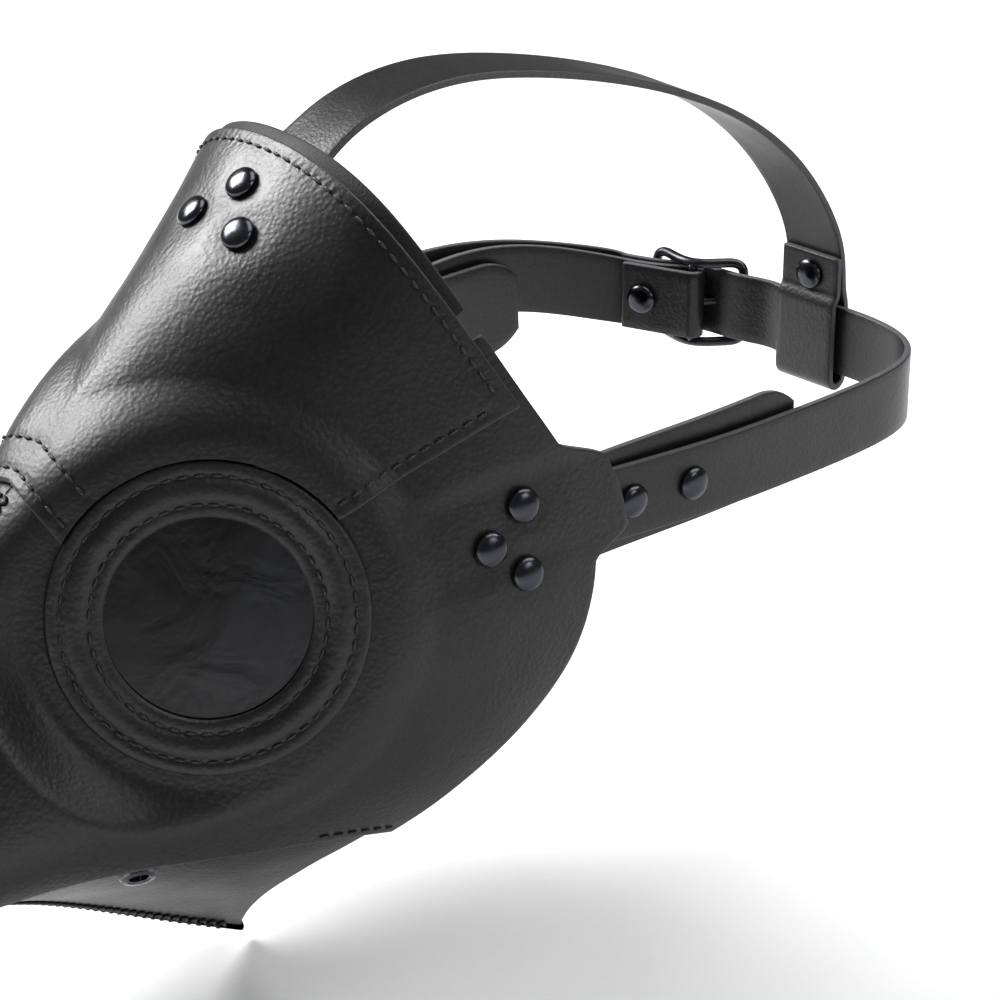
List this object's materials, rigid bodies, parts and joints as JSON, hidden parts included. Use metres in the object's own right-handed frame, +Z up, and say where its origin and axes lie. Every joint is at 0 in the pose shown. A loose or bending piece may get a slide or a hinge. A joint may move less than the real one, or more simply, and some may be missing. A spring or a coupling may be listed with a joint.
{
  "type": "plague doctor mask",
  "caption": "Black leather plague doctor mask: long drooping beak, round smoked eye ports, riveted forehead piece, crown strap and a buckled back strap.",
  "frame": {"origin": "midway between the temples, level with the upper temple rivets, where the mask meets the wearer's head", "axes": "+Z up, -Y along the beak (forward), +X towards the wearer's left"},
  "size_m": [0.1349, 0.3894, 0.2259],
  "materials": {
    "panel_leather": "black pebbled grain cowhide with a soft waxed sheen, raw grey cut edges",
    "lining_leather": "black leather, flesh side towards the face",
    "strap_leather": "black finished strap leather with burnished edges",
    "waxed_thread": "black waxed polyester thread",
    "smoked_lens": "smoked grey acrylic sheet, polished",
    "rivet_metal": "gunmetal plated domed caps, glossy",
    "vent_metal": "gunmetal plated eyelet and washer",
    "buckle_metal": "black plated steel wire buckle"
  },
  "bodies": {
    "mask": {"side_panel_left": "panel_leather", "side_panel_right": "panel_leather", "forehead_panel": "panel_leather", "forehead_lining": "lining_leather", "under_panel_left": "panel_leather", "under_panel_right": "panel_leather", "ridge_lacing": "waxed_thread", "chin_lacing": "waxed_thread", "eye_ring_left": "panel_leather", "eye_ring_right": "panel_leather", "lens_left": "smoked_lens", "lens_right": "smoked_lens", "lens_backing_left": "lining_leather", "lens_backing_right": "lining_leather", "vent_eyelet_left": "vent_metal", "vent_eyelet_right": "vent_metal", "vent_washer_left": "vent_metal", "vent_washer_right": "vent_metal", "crown_strap": "strap_leather", "back_strap": "strap_leather", "buckle_strap": "strap_leather", "temple_strap_left": "strap_leather", "temple_strap_right": "strap_leather", "forehead_rivets": "rivet_metal", "forehead_rivet_backs": "rivet_metal", "temple_rivets_left": "rivet_metal", "temple_rivets_right": "rivet_metal", "temple_rivet_backs_left": "rivet_metal", "temple_rivet_backs_right": "rivet_metal", "strap_rivets_left": "rivet_metal", "strap_rivets_right": "rivet_metal", "strap_rivet_backs_left": "rivet_metal", "strap_rivet_backs_right": "rivet_metal", "crown_loop_rivet": "rivet_metal", "crown_loop_rivet_back": "rivet_metal", "buckle_rivet": "rivet_metal", "buckle_rivet_back": "rivet_metal"},
    "buckle": {"buckle_frame": "buckle_metal"},
    "prong": {"buckle_prong": "buckle_metal"}
  },
  "joints": [
    {"name": "buckle_tilt", "type": "hinge", "parent": "mask", "child": "buckle", "pos_m": [-0.031, 0.1355, -0.0085], "axis": [0, 0, 1], "range_deg": [-1.5, 0.5]},
    {"name": "prong_lift", "type": "hinge", "parent": "buckle", "child": "prong", "pos_m": [-0.031, 0.1355, -0.0085], "axis": [0, 0, 1], "range_deg": [0, 45]}
  ]
}
